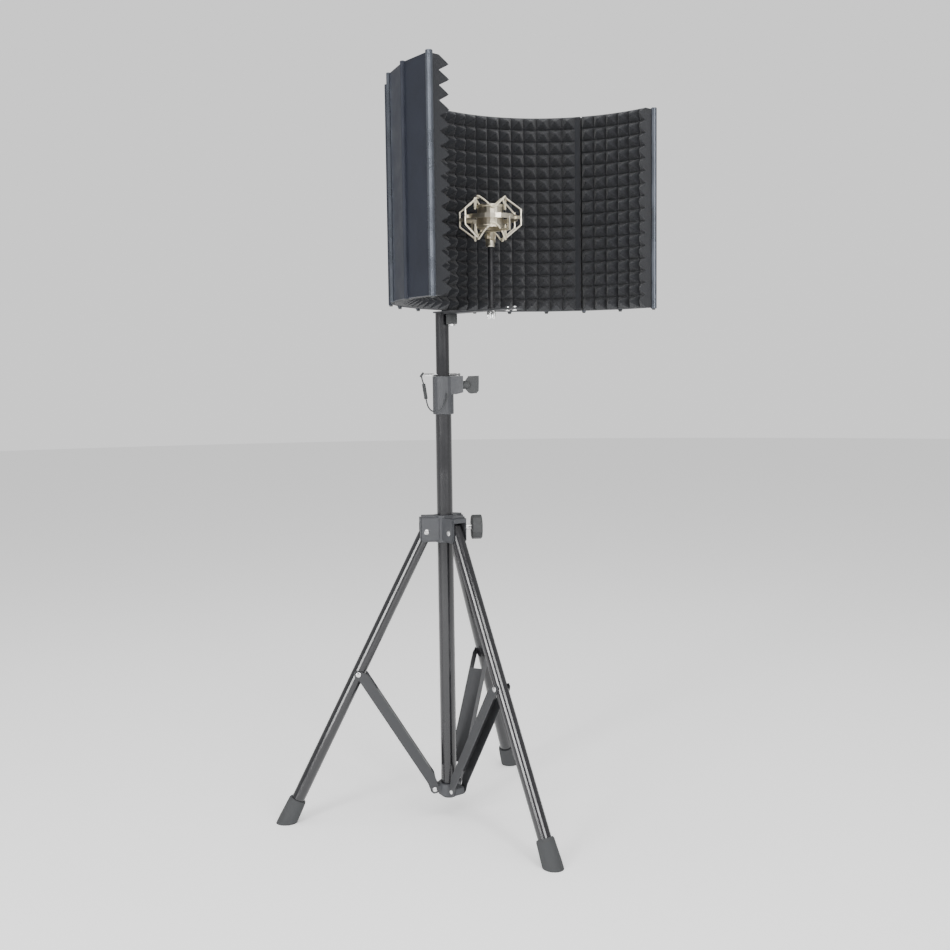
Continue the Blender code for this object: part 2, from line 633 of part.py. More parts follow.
def hinge_rib(side):
    """The round rib that a wing turns on, kept clear of the foam behind it."""
    bead = rib_bar(side * HINGE_RIB, RIB_R)
    first, last = sorted((side * (HINGE_RIB - 1), side * (HINGE_RIB + 1)))
    inside = facet_outline(SHIELD_R - PANEL_WALL, SHIELD_R - 0.012, first, last)
    return cut(bead, slab(inside, SHIELD_LOW - 0.01, SHIELD_LOW + SHIELD_HEIGHT + 0.01))


# ---------------------------------------------------------------- head bracket
def head_bracket(dark, steel):
    outline = rounded_outline(PLATE_HALF, PLATE_FRONT, PLATE_HALF, PLATE_HALF - 0.001, 8)
    plate = slab(outline, PLATE_TOP - PLATE_THICK, PLATE_TOP)
    bolt_hole = moved(rod(KNOB_HOLE_R, -0.02, 0.02, 12), Matrix.Translation((0, CLAMP_KNOB_Y, PLATE_TOP)))
    add("mount_plate", cut(plate, bolt_hole), dark)
    spigot = rod(MAST_R - MAST_WALL - GAP, MAST_HIGH - 0.045, PLATE_TOP - PLATE_THICK - GAP, 24, 0.0008)
    add("mast_spigot", spigot, steel)
    bar = slab(rounded_outline(BAR_WIDTH / 2, BAR_FRONT, BAR_BACK, 0.006), BAR_TOP - BAR_THICK, BAR_TOP)
    slot = slab(slot_outline(SLOT_HALF, SLOT_BACK, SLOT_FRONT), BAR_TOP - 0.01, BAR_TOP + 0.01)
    bar = cut(bar, slot)
    holes = {CLAMP_KNOB_Y: KNOB_HOLE_R, BAR_SCREWS_Y[0]: BAR_HOLE_R, BAR_SCREWS_Y[1]: BAR_HOLE_R}
    for y, radius in holes.items():
        bar = cut(bar, moved(rod(radius, -0.02, 0.02, 12), Matrix.Translation((0, y, BAR_TOP))))
    add("boom_bar", bar, dark)
    for name, y in zip(("rear", "front"), BAR_SCREWS_Y):
        low = BAR_TOP - BAR_THICK
        screw = solid_ring([(0.0, low - 0.0026), (0.0034, low - 0.0026), (0.0046, low - 0.0012),
                            (0.0046, low - GAP), (0.0020, low - GAP), (0.0020, BAR_TOP + GAP),
                            (0.0040, BAR_TOP + GAP), (0.0040, BAR_TOP + 0.0024),
                            (0.0, BAR_TOP + 0.0024)], 16)
        add(f"boom_screw_{name}", screw, steel, None, Matrix.Translation((0, y, 0)))


def clamp_knob(plastic, steel):
    """The knurled knob that clamps the bar to the plate."""
    axis = empty("clamp_knob_axis", Matrix.Translation((0, CLAMP_KNOB_Y, 0)))
    top = BAR_TOP - BAR_THICK - GAP
    low = top - CLAMP_KNOB_HIGH
    grip = moved(star_knob(0.0103, CLAMP_KNOB_HIGH, 10, 0.10, 0.001), Matrix.Translation((0, 0, low)))
    knob = cut(grip, rod(0.0033, top - 0.05, top + 0.01, 12))
    add("clamp_knob", knob, plastic, axis)
    bolt = solid_ring([(0.0, low - 0.0042), (0.0060, low - 0.0042), (0.0068, low - 0.0032),
                       (0.0068, low - GAP), (0.0030, low - GAP), (0.0030, PLATE_TOP - 0.0002),
                       (0.0, PLATE_TOP - 0.0002)], 16)
    add("clamp_bolt", bolt, steel, axis)


# ---------------------------------------------------------------- microphone rod and shock mount
def mic_rod(paint, chrome):
    low = BAR_TOP - BAR_THICK
    thread_r, collar_r = 0.0038, ROD_R + 0.0016
    profile = [(0.0, low - 0.0146), (thread_r, low - 0.0146), (thread_r, BAR_TOP + GAP),
               (collar_r, BAR_TOP + GAP), (collar_r, BAR_TOP + 0.004), (ROD_R, BAR_TOP + 0.005),
               (ROD_R, ROD_TOP), (0.0, ROD_TOP)]
    axis = empty("mic_rod_axis", Matrix.Translation((0, ROD_Y, 0)))
    add("mic_rod", solid_ring(profile, 24), paint, axis)
    nut = join(star_knob(0.0073, 0.0130, 10, 0.08, 0.0008), rod(0.0092, 0.0126, 0.0146, 24, 0.0004))
    nut = cut(nut, rod(thread_r + 0.0004, -0.01, 0.02, 16))
    nut_axis = empty("rod_nut_axis", Matrix.Translation((0, ROD_Y, low - GAP - 0.0146)))
    add("rod_nut", nut, chrome, nut_axis)


def yoke(nickel):
    """The threaded socket on the rod, with the fork that the shock mount tilts in."""
    low = ROD_TOP - 0.007
    socket = solid_ring([(0.0, ROD_TOP + GAP), (ROD_R + GAP, ROD_TOP + GAP), (ROD_R + GAP, low),
                         (0.0078, low), (0.0082, low + 0.001), (0.0082, TILT_Z - 0.0072),
                         (0.0, TILT_Z - 0.0072)], 24)
    for side in (-1, 1):
        disc = strut((side * 0.0043, 0, TILT_Z), (side * 0.0073, 0, TILT_Z), 0.0065, 16)
        stem = block((0.0026, 0.0110, 0.0090), (side * 0.0058, 0, TILT_Z - 0.0055))
        socket = join(socket, disc, stem)
    hole = moved(hole_along_y(0.0023, (0, 0, 0), 0.02), Matrix.Rotation(math.radians(90), 4, "Z"))
    socket = cut(socket, moved(hole, Matrix.Translation((0, 0, TILT_Z))))
    add("thread_socket", socket, nickel, None, Matrix.Translation((0, ROD_Y, 0)))
    screw = solid_ring([(0.0, -0.0112), (0.0040, -0.0112), (0.0040, -0.0078), (0.0020, -0.0076),
                        (0.0020, 0.0076), (0.0036, 0.0078), (0.0036, 0.0100), (0.0, 0.0100)], 14)
    screw = moved(screw, Matrix.Rotation(math.radians(90), 4, "Y"))
    add("tilt_screw", screw, nickel, None, Matrix.Translation((0, ROD_Y, TILT_Z)))


def shock_frame():
    """A hoop with four bent arms, each with a hook above and below for the elastic cord."""
    low, high = -HOOP_HEIGHT / 2, HOOP_HEIGHT / 2
    made = tube(HOOP_R, HOOP_THICK, low, high, 32)
    for azimuth in ARM_AZIMUTHS:
        turn = spin(azimuth)
        post = strut((ARM_REACH, 0, -ARM_POST - 0.001), (ARM_REACH, 0, ARM_POST + 0.001), ARM_R)
        bridge_middle = (ARM_REACH + HOOP_R - 0.001) / 2
        bridge = block((ARM_REACH - HOOP_R + 0.002, 0.0050, 0.0050), (bridge_middle, 0, 0))
        made = join(made, moved(post, turn), moved(bridge, turn))
        for side in (-1, 1):
            tip = (LOOP_RADIUS + 0.0007, 0, side * (LOOP_RISE - 0.0004))
            arm = strut((ARM_REACH, 0, side * ARM_POST), tip, ARM_R * 0.92)
            height = side * LOOP_RISE
            hook = strut((LOOP_RADIUS, -HOOK_HALF, height), (LOOP_RADIUS, HOOK_HALF, height), HOOK_R, 12)
            made = join(made, moved(arm, turn), moved(hook, turn))
    return made


def shock_mount(nickel, cream):
    place = Matrix.Translation((0, ROD_Y, MOUNT_Z))
    drop = TILT_Z - MOUNT_Z
    lug = block((0.0080, 0.0090, 0.0150), (0, 0, drop + 0.0015), 0.0005)
    foot = block((0.0074, 2 * HOOP_R - 0.004, 0.0030), (0, 0, drop + 0.0090))
    made = join(shock_frame(), lug, foot)
    for side in (-1, 1):
        foot_end, hoop_end = side * (HOOP_R - 0.0022), side * (HOOP_R - 0.0018)
        made = join(made, strut((0, foot_end, drop + 0.0080), (0, hoop_end, 0.0), 0.0026))
    hole = moved(hole_along_y(0.0023, (0, 0, 0), 0.02), Matrix.Rotation(math.radians(90), 4, "Z"))
    made = cut(made, moved(hole, Matrix.Translation((0, 0, drop))))
    add("shock_frame", made, nickel, None, place)
    add("mic_clamp", mic_clamp(), nickel, None, place @ Matrix.Translation((0, 0, CLAMP_RISE)))
    for name, side in (("upper", 1), ("lower", -1)):
        add(f"elastic_cord_{name}", ring_cord(elastic_route(side), ELASTIC_R), cream, None, place)


def mic_clamp():
    """The sleeve that holds the microphone, with a rim above and below."""
    r, half, wall = CLAMP_R, CLAMP_HALF, CLAMP_WALL
    rim, thick = 0.0014, 0.0030
    profile = [(r - wall, -half), (r + rim, -half), (r + rim, -half + thick), (r, -half + thick + 0.001),
               (r, half - thick - 0.001), (r + rim, half - thick), (r + rim, half), (r - wall, half)]
    return solid_ring(profile, 24)


def elastic_route(side):
    """Over each of the frame's four hooks and down to the clamp's waist between them."""
    points = []
    for k, azimuth in enumerate(ARM_AZIMUTHS):
        gap = (ARM_AZIMUTHS[(k + 1) % 4] - azimuth) % 360
        stops = [(azimuth, LOOP_RADIUS - 0.0006, LOOP_RISE + 0.0062)]
        for turn in ((gap / 2,) if gap < 90 else (32.0, gap / 2, gap - 32.0)):
            stops.append((azimuth + turn, 0.0290, 0.0125))
        for degrees, r, z in stops:
            a = math.radians(degrees)
            points.append(Vector((r * math.cos(a), r * math.sin(a), side * z)))
    return points


def ring_cord(points, radius, steps=6, per_side=4):
    """A closed round cord through points."""
    route = []
    count = len(points)
    for i in range(count):
        a, b, c, d = (points[(i + k) % count] for k in (-1, 0, 1, 2))
        for k in range(per_side):
            route.append(curve_point(a, b, c, d, k / per_side))
    shape = bmesh.new()
    rings = []
    for i, place in enumerate(route):
        way = (route[(i + 1) % len(route)] - route[i - 1]).normalized()
        side = way.cross(Vector((0, 0, 1))).normalized()
        up = side.cross(way)
        ring = []
        for k in range(steps):
            a = 2 * math.pi * k / steps
            ring.append(shape.verts.new(place + radius * (math.cos(a) * side + math.sin(a) * up)))
        rings.append(ring)
    for i, ring in enumerate(rings):
        other = rings[(i + 1) % len(rings)]
        for k in range(steps):
            j = (k + 1) % steps
            shape.faces.new((ring[k], ring[j], other[j], other[k]))
    return mesh_of(shape)


# ---------------------------------------------------------------- assembly
def build():
    clear_scene()
    gloss_black = material("gloss_black_paint", (0.012, 0.012, 0.014), 0.25)
    matte_black = material("matte_black_paint", (0.030, 0.031, 0.034), 0.5)
    cast = material("dark_grey_plastic", (0.045, 0.047, 0.052), 0.55)
    knob_grey = material("knob_plastic", (0.035, 0.037, 0.038), 0.6)
    rubber = material("dark_rubber", (0.040, 0.042, 0.044), 0.8)
    steel = material("bright_steel", (0.72, 0.72, 0.72), 0.3, 1.0)
    chrome = material("chrome", (0.80, 0.80, 0.80), 0.12, 1.0)
    nickel = material("satin_nickel", (0.66, 0.61, 0.50), 0.32, 1.0)
    panel = material("blue_grey_metal", (0.030, 0.036, 0.050), 0.42, 0.5)
    rib = material("rib_metal", (0.045, 0.052, 0.066), 0.35, 0.6)
    foam_grey = material("charcoal_foam", (0.018, 0.019, 0.022), 0.95)
    cream = material("cream_elastic", (0.72, 0.66, 0.50), 0.7)

    lower_pole(gloss_black, cast)
    spreader(cast)
    hub(cast, steel)
    hub_knob(knob_grey, steel)
    for name, azimuth in LEGS.items():
        leg(name, azimuth, gloss_black, rubber, steel)
        brace(name, azimuth, matte_black, steel)
    height_collar(cast, knob_grey)
    height_knob(knob_grey, steel)
    mast(gloss_black)
    safety_pin(chrome, knob_grey)
    lanyard(rubber)
    shield(panel, rib, foam_grey)
    head_bracket(matte_black, steel)
    clamp_knob(knob_grey, steel)
    mic_rod(gloss_black, chrome)
    yoke(nickel)
    shock_mount(nickel, cream)


build()
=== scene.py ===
"""Looks for the microphone isolation shield: foam, cords, knurled hardware, materials and light.

Units are metres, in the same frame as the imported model. The shield opens towards -Y.
"""
import json
import math

import bmesh
import bpy
import numpy as np
from mathutils import Matrix, Vector


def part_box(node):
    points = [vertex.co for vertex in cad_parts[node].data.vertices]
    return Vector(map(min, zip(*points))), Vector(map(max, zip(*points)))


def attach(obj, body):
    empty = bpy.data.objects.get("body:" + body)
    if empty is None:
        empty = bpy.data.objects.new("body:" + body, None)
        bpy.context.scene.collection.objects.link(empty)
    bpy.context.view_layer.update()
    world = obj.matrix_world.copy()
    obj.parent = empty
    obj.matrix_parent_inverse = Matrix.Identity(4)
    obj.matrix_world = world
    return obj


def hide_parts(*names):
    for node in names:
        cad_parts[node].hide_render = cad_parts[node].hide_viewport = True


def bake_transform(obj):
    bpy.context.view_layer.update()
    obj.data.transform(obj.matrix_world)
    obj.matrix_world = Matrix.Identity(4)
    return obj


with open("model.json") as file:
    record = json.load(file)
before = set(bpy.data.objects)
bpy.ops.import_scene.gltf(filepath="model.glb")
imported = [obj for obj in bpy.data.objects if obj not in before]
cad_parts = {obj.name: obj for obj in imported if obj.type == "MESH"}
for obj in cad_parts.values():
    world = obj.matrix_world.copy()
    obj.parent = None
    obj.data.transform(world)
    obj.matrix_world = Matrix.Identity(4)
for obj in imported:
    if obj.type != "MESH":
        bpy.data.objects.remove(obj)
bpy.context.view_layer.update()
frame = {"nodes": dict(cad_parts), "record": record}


def middle(node):
    low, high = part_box(node)
    return (low + high) / 2


# ---------------------------------------------------------------- places read from the frame
MAST = Vector((middle("mast_tube").x, middle("mast_tube").y, 0.0))
KNOB_AZIMUTH = math.radians(322)
FOAM_LOW, FOAM_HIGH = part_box("foam_center")[0].z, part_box("foam_center")[1].z
SHIELD_R = 0.275                # outer corners of the panels
ARC = MAST + Vector((0, -0.280, 0))     # middle of the half circle
RIB_STEP = math.radians(15)
HINGE_RIB, END_RIB = 4, 6       # ribs that the wings turn on and end in, from the middle
CLAMP = middle("mic_clamp")
HOOP = Vector((middle("mic_clamp").x, middle("mic_clamp").y, 1.1165))     # middle of the hoop
CLAMP_OFFSET = CLAMP.z - HOOP.z
HOOK_Z = 0.0372                 # height of the cords over the frame's hooks, from the hoop
HOOKS_AT = (-57.0, -7.0, 123.0, 173.0)  # directions of the four arms, in degrees
CORD_R, CORD_PATH_R = 0.0014, 0.0272    # the cord's thickness, and its distance from the sleeve's axis
NUT_R, KNOB_R = 0.0078, 0.0103
BRACE_HALF = 0.01595            # from the middle of a brace to its outer face

# ---------------------------------------------------------------- camera
CAMERA_FROM_MAST = Vector((-1.4383, -1.5697, 0.832))
LOOK_AZIMUTH = math.radians(44.05)      # from +Y towards +X
LOOK_DOWN = math.radians(4.76)
LOOK_ROLL = math.radians(-0.745)
LENS = 43.0

# ---------------------------------------------------------------- floor and backdrop
FLOOR_HALF = 30.0
WALL_R, WALL_HIGH = 14.0, 14.0
FLOOR_GLOW, WALL_GLOW = 0.42, 1.05      # these make the two meet at about the same grey

# ---------------------------------------------------------------- lanyard
# u runs along the knobs' direction, v across it towards the open side, and z is the height.
LANYARD_R = 0.0013
COIL_R = 0.0036
COIL_TOP, COIL_END = (-0.0370, -0.0120, 0.8270), (-0.0330, -0.0150, 0.7990)
LANYARD_ROUTE = [(-0.0402, -0.0062, 0.8425), (-0.0398, -0.0088, 0.8370), (-0.0385, -0.0108, 0.8315),
                 (-0.0372, -0.0119, 0.8274), (-0.0357, -0.0130, 0.8180), (-0.0343, -0.0140, 0.8082),
                 (-0.0329, -0.0151, 0.7986), (-0.0316, -0.0163, 0.7915), (-0.0290, -0.0185, 0.7835),
                 (-0.0240, -0.0215, 0.7775), (-0.0165, -0.0242, 0.7755), (-0.0080, -0.0256, 0.7785),
                 (-0.0010, -0.0256, 0.7860), (0.0035, -0.0250, 0.7950), (0.0058, -0.0244, 0.8030)]


# ---------------------------------------------------------------- node materials
def material(name, color, roughness, metallic=0.0, grain=900.0, grain_depth=0.00003, spread=0.08,
             tint=0.18, wear=0.0, wear_color=(0.2, 0.2, 0.2), stretch=(1, 1, 1), coat=0.0, sheen=0.0):
    """A surface with fine grain, uneven gloss and colour, and edges rubbed lighter by wear."""
    made = bpy.data.materials.new(name)
    made.use_nodes = True
    nodes, links = made.node_tree.nodes, made.node_tree.links
    shader = nodes["Principled BSDF"]
    shader.inputs["Metallic"].default_value = metallic
    shader.inputs["Coat Weight"].default_value = coat
    shader.inputs["Coat Roughness"].default_value = 0.08
    shader.inputs["Sheen Weight"].default_value = sheen
    where = nodes.new("ShaderNodeTexCoord")
    scaled = nodes.new("ShaderNodeMapping")
    scaled.inputs["Scale"].default_value = stretch
    links.new(where.outputs["Object"], scaled.inputs["Vector"])

    broad = nodes.new("ShaderNodeTexNoise")
    broad.inputs["Scale"].default_value = 28.0
    broad.inputs["Detail"].default_value = 5.0
    links.new(where.outputs["Object"], broad.inputs["Vector"])
    fine = nodes.new("ShaderNodeTexNoise")
    fine.inputs["Scale"].default_value = grain
    fine.inputs["Detail"].default_value = 3.0
    links.new(scaled.outputs["Vector"], fine.inputs["Vector"])

    gloss = nodes.new("ShaderNodeMapRange")
    gloss.inputs["From Min"].default_value, gloss.inputs["From Max"].default_value = 0.3, 0.7
    gloss.inputs["To Min"].default_value = max(0.03, roughness - spread)
    gloss.inputs["To Max"].default_value = min(1.0, roughness + spread)
    links.new(broad.outputs["Fac"], gloss.inputs["Value"])
    links.new(gloss.outputs["Result"], shader.inputs["Roughness"])

    shade = nodes.new("ShaderNodeMix")
    shade.data_type = "RGBA"
    shade.inputs["A"].default_value = (*[c * (1 - tint) for c in color], 1)
    shade.inputs["B"].default_value = (*[min(1.0, c * (1 + tint)) for c in color], 1)
    links.new(broad.outputs["Fac"], shade.inputs["Factor"])
    base = shade.outputs["Result"]
    if wear:
        base = worn(nodes, links, base, broad, wear, wear_color)
    links.new(base, shader.inputs["Base Color"])

    bump = nodes.new("ShaderNodeBump")
    bump.inputs["Strength"].default_value = 1.0
    bump.inputs["Distance"].default_value = grain_depth
    links.new(fine.outputs["Fac"], bump.inputs["Height"])
    links.new(bump.outputs["Normal"], shader.inputs["Normal"])
    return made


def worn(nodes, links, base, broad, amount, color):
    """base, with color where the surface turns sharply."""
    rounded = nodes.new("ShaderNodeBevel")
    rounded.samples = 4
    rounded.inputs["Radius"].default_value = 0.0009
    flat = nodes.new("ShaderNodeNewGeometry")
    meet = nodes.new("ShaderNodeVectorMath")
    meet.operation = "DOT_PRODUCT"
    links.new(rounded.outputs["Normal"], meet.inputs[0])
    links.new(flat.outputs["Normal"], meet.inputs[1])
    edge = nodes.new("ShaderNodeMapRange")
    edge.inputs["From Min"].default_value, edge.inputs["From Max"].default_value = 0.985, 0.80
    edge.inputs["To Min"].default_value, edge.inputs["To Max"].default_value = 0.0, amount
    links.new(meet.outputs["Value"], edge.inputs["Value"])
    patchy = nodes.new("ShaderNodeMath")
    patchy.operation = "MULTIPLY"
    links.new(edge.outputs["Result"], patchy.inputs[0])
    links.new(broad.outputs["Fac"], patchy.inputs[1])
    rubbed = nodes.new("ShaderNodeMix")
    rubbed.data_type = "RGBA"
    rubbed.inputs["B"].default_value = (*color, 1)
    links.new(patchy.outputs["Value"], rubbed.inputs["Factor"])
    links.new(base, rubbed.inputs["A"])
    return rubbed.outputs["Result"]


def all_materials():
    return {
        "gloss_black_paint": material("gloss_black_paint", (0.012, 0.012, 0.014), 0.22, grain=500,
                                      spread=0.06, grain_depth=0.000012, coat=0.4, wear=0.5,
                                      wear_color=(0.10, 0.10, 0.11)),
        "matte_black_paint": material("matte_black_paint", (0.030, 0.031, 0.034), 0.52, grain=1600,
                                      grain_depth=0.00004, wear=0.6, wear_color=(0.16, 0.16, 0.17)),
        "blue_grey_metal": material("blue_grey_metal", (0.014, 0.017, 0.027), 0.42, 0.35, grain=1400,
                                    grain_depth=0.00002, wear=0.5, wear_color=(0.20, 0.22, 0.26)),
        "rib_metal": material("rib_metal", (0.10, 0.11, 0.13), 0.30, 0.8, grain=1400,
                              grain_depth=0.00002, wear=0.25, wear_color=(0.30, 0.32, 0.36)),
        "dark_grey_plastic": material("dark_grey_plastic", (0.045, 0.047, 0.052), 0.52, grain=1900,
                                      grain_depth=0.00006, wear=0.4, wear_color=(0.14, 0.14, 0.15)),
        "knob_plastic": material("knob_plastic", (0.035, 0.037, 0.038), 0.62, grain=1500,
                                 grain_depth=0.00014, wear=0.4, wear_color=(0.12, 0.12, 0.12)),
        "dark_rubber": material("dark_rubber", (0.040, 0.042, 0.044), 0.82, grain=1100, grain_depth=0.00008,
                                tint=0.3, wear=0.3, wear_color=(0.12, 0.12, 0.12)),
        "bright_steel": material("bright_steel", (0.72, 0.72, 0.72), 0.28, 1.0, grain=1200,
                                 grain_depth=0.00001, stretch=(1, 1, 0.08)),
        "chrome": material("chrome", (0.80, 0.80, 0.80), 0.10, 1.0, grain=700, spread=0.04,
                           grain_depth=0.000005),
        "satin_nickel": material("satin_nickel", (0.66, 0.61, 0.50), 0.32, 1.0, grain=1800, spread=0.06,
                                 grain_depth=0.00002, tint=0.08),
        "charcoal_foam": foam_material(),
        "cream_elastic": woven_material("cream_elastic", (0.72, 0.66, 0.50)),
    }


def foam_material():
    """Open-cell foam: pores at two sizes under a dull, slightly furry surface."""
    made = material("charcoal_foam", (0.011, 0.012, 0.015), 0.95, spread=0.04, tint=0.35, sheen=0.10)
    nodes, links = made.node_tree.nodes, made.node_tree.links
    pores = nodes.new("ShaderNodeTexVoronoi")
    pores.inputs["Scale"].default_value = 850.0
    where = next(n for n in nodes if n.bl_idname == "ShaderNodeTexCoord")
    links.new(where.outputs["Object"], pores.inputs["Vector"])
    bump = next(n for n in nodes if n.bl_idname == "ShaderNodeBump")
    bump.inputs["Distance"].default_value = 0.0006
    links.new(pores.outputs["Distance"], bump.inputs["Height"])
    return made


def woven_material(name, color):
    """A braided sheath: two crossing bands of fine ridges."""
    made = material(name, color, 0.75, tint=0.12, sheen=0.2)
    nodes, links = made.node_tree.nodes, made.node_tree.links
    where = next(n for n in nodes if n.bl_idname == "ShaderNodeTexCoord")
    ridges = []
    for turn in (1, -1):
        lean = nodes.new("ShaderNodeMapping")
        lean.inputs["Rotation"].default_value = (0.0, turn * math.radians(45), turn * math.radians(45))
        links.new(where.outputs["Object"], lean.inputs["Vector"])
        band = nodes.new("ShaderNodeTexWave")
        band.inputs["Scale"].default_value = 450.0
        links.new(lean.outputs["Vector"], band.inputs["Vector"])
        ridges.append(band)
    both = nodes.new("ShaderNodeMath")
    both.operation = "MULTIPLY"
    for socket, band in zip(both.inputs, ridges):
        links.new(band.outputs["Fac"], socket)
    bump = next(n for n in nodes if n.bl_idname == "ShaderNodeBump")
    bump.inputs["Distance"].default_value = 0.00025
    links.new(both.outputs["Value"], bump.inputs["Height"])
    return made


# ---------------------------------------------------------------- mesh helpers
def piece(name, verts, faces, slot, body, replaces=(), smooth=35):
    mesh = bpy.data.meshes.new(name)
    mesh.from_pydata([tuple(v) for v in verts], [], faces)
    shape = bmesh.new()
    shape.from_mesh(mesh)
    bmesh.ops.recalc_face_normals(shape, faces=shape.faces)
    shape.to_mesh(mesh)
    shape.free()
    mesh.materials.append(MATERIALS[slot])
    mesh.shade_smooth()
    mesh.set_sharp_from_angle(angle=math.radians(smooth))
    made = bpy.data.objects.new(name, mesh)
    bpy.context.scene.collection.objects.link(made)
    if body:
        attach(made, body)
    if replaces:
        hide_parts(*replaces)
    return made


def strip_faces(rows, closed_rows=False):
    """Faces between rows of points, each of which is a ring."""
    count = len(rows[0])
    faces = []
    for k in range(len(rows) if closed_rows else len(rows) - 1):
        other = (k + 1) % len(rows)
        for i in range(count):
            j = (i + 1) % count
            faces.append((k * count + i, k * count + j, other * count + j, other * count + i))
    return faces


def turned(profile, place, steps=32, radius_at=None, hollow=False):
    """A profile of (radius, z) points turned about place's Z; radius_at adds ridges round it.

    A hollow one joins its last ring to its first, and any other is capped.
    """
    rows = []
    for radius, z in profile:
        row = []
        for i in range(steps):
            a = 2 * math.pi * i / steps
            r = radius * (radius_at(a, z) if radius_at else 1.0)
            row.append(place @ Vector((r * math.cos(a), r * math.sin(a), z)))
        rows.append(row)
    faces = strip_faces(rows, closed_rows=hollow)
    if not hollow:
        faces.append(tuple(range(steps)))
        faces.append(tuple(range((len(rows) - 1) * steps, len(rows) * steps)))
    return [v for row in rows for v in row], faces


def curve_point(a, b, c, d, t):
    """A point between b and c of a smooth curve through four points."""
    return 0.5 * ((2 * b) + (c - a) * t + (2 * a - 5 * b + 4 * c - d) * t * t
                  + (3 * b - a - 3 * c + d) * t ** 3)


def smooth_route(points, step):
    whole = [Vector(p) for p in points]
    ends = [2 * whole[0] - whole[1]] + whole + [2 * whole[-1] - whole[-2]]
    route = []
    for a, b, c, d in zip(ends, ends[1:], ends[2:], ends[3:]):
        count = max(2, round((c - b).length / step))
        route += [curve_point(a, b, c, d, k / count) for k in range(count)]
    return route + [whole[-1]]


# ---------------------------------------------------------------- camera, floor and lights
def camera():
    data = bpy.data.cameras.new("camera")
    data.lens = LENS
    data.sensor_width = 36.0
    made = bpy.data.objects.new("camera", data)
    bpy.context.scene.collection.objects.link(made)
    turn = (Matrix.Rotation(-LOOK_AZIMUTH, 4, "Z") @ Matrix.Rotation(math.radians(90) - LOOK_DOWN, 4, "X")
            @ Matrix.Rotation(LOOK_ROLL, 4, "Z"))
    made.matrix_world = Matrix.Translation(MAST + CAMERA_FROM_MAST) @ turn
    bpy.context.scene.camera = made


def floor():
    mesh = bpy.data.meshes.new("floor")
    corners = [(x * FLOOR_HALF, y * FLOOR_HALF, 0) for x, y in ((-1, -1), (1, -1), (1, 1), (-1, 1))]
    mesh.from_pydata(corners, [], [(0, 1, 2, 3)])
    pale = bpy.data.materials.new("pale_floor")
    pale.use_nodes = True
    shader = pale.node_tree.nodes["Principled BSDF"]
    shader.inputs["Base Color"].default_value = (0.90, 0.90, 0.90, 1)
    shader.inputs["Roughness"].default_value = 0.9
    shader.inputs["Emission Color"].default_value = (1, 1, 1, 1)
    shader.inputs["Emission Strength"].default_value = FLOOR_GLOW
    mesh.materials.append(pale)
    made = bpy.data.objects.new("floor", mesh)
    bpy.context.scene.collection.objects.link(made)


def backdrop():
    """A plain white wall all round, seen by the camera only, so that it adds no light."""
    steps = 96
    rim = [(WALL_R * math.cos(2 * math.pi * k / steps), WALL_R * math.sin(2 * math.pi * k / steps))
           for k in range(steps)]
    verts = [(x, y, z) for z in (0.0, WALL_HIGH) for x, y in rim]
    faces = [(k, (k + 1) % steps, (k + 1) % steps + steps, k + steps) for k in range(steps)]
    mesh = bpy.data.meshes.new("backdrop")
    mesh.from_pydata(verts, [], faces)
    white = bpy.data.materials.new("white_backdrop")
    white.use_nodes = True
    shader = white.node_tree.nodes["Principled BSDF"]
    shader.inputs["Base Color"].default_value = (0, 0, 0, 1)
    shader.inputs["Emission Color"].default_value = (1, 1, 1, 1)
    shader.inputs["Emission Strength"].default_value = WALL_GLOW
    mesh.materials.append(white)
    made = bpy.data.objects.new("backdrop", mesh)
    bpy.context.scene.collection.objects.link(made)
    made.visible_diffuse = made.visible_glossy = made.visible_transmission = made.visible_shadow = False


def area_light(name, azimuth, distance, height, size, power):
    """A soft light; azimuth is from the camera's side of the mast, positive to the camera's right."""
    data = bpy.data.lights.new(name, "AREA")
    data.shape = "RECTANGLE"
    data.size, data.size_y = size
    data.energy = power
    made = bpy.data.objects.new(name, data)
    bpy.context.scene.collection.objects.link(made)
    back = Matrix.Rotation(math.radians(azimuth) - LOOK_AZIMUTH, 4, "Z") @ Vector((0, -distance, 0))
    made.location = MAST + back + Vector((0, 0, height))
    aim = MAST + Vector((0, 0, 0.75)) - made.location
    made.rotation_euler = aim.to_track_quat("-Z", "Y").to_euler()


def studio():
    area_light("key", -35, 2.8, 1.3, (0.45, 2.2), 62)
    area_light("fill", 28, 2.8, 1.2, (0.40, 2.2), 44)
    area_light("top", 10, 0.6, 3.0, (2.4, 2.4), 70)
    world = bpy.data.worlds.new("studio")
    world.use_nodes = True
    world.node_tree.nodes["Background"].inputs["Color"].default_value = (1, 1, 1, 1)
    world.node_tree.nodes["Background"].inputs["Strength"].default_value = 0.55
    bpy.context.scene.world = world


# ---------------------------------------------------------------- lanyard
def lanyard_frame():
    return Matrix.Translation(MAST) @ Matrix.Rotation(KNOB_AZIMUTH, 4, "Z")


def lanyard():
    place = lanyard_frame()
    route = [place @ p for p in smooth_route(LANYARD_ROUTE, 0.0012)]
    curve = bpy.data.curves.new("lanyard", "CURVE")
    curve.dimensions = "3D"
    curve.bevel_depth = LANYARD_R
    curve.bevel_resolution = 4
    curve.use_fill_caps = True
    spline = curve.splines.new("POLY")
    spline.points.add(len(route) - 1)
    for point, at in zip(spline.points, route):
        point.co = (*at, 1.0)
    curve.materials.append(MATERIALS["dark_rubber"])
    cord = bpy.data.objects.new("lanyard", curve)
    bpy.context.scene.collection.objects.link(cord)
    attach(cord, "safety_pin")
    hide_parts("lanyard_top_cord", "lanyard_loop_cord")
    sleeve = wound_sleeve(place)


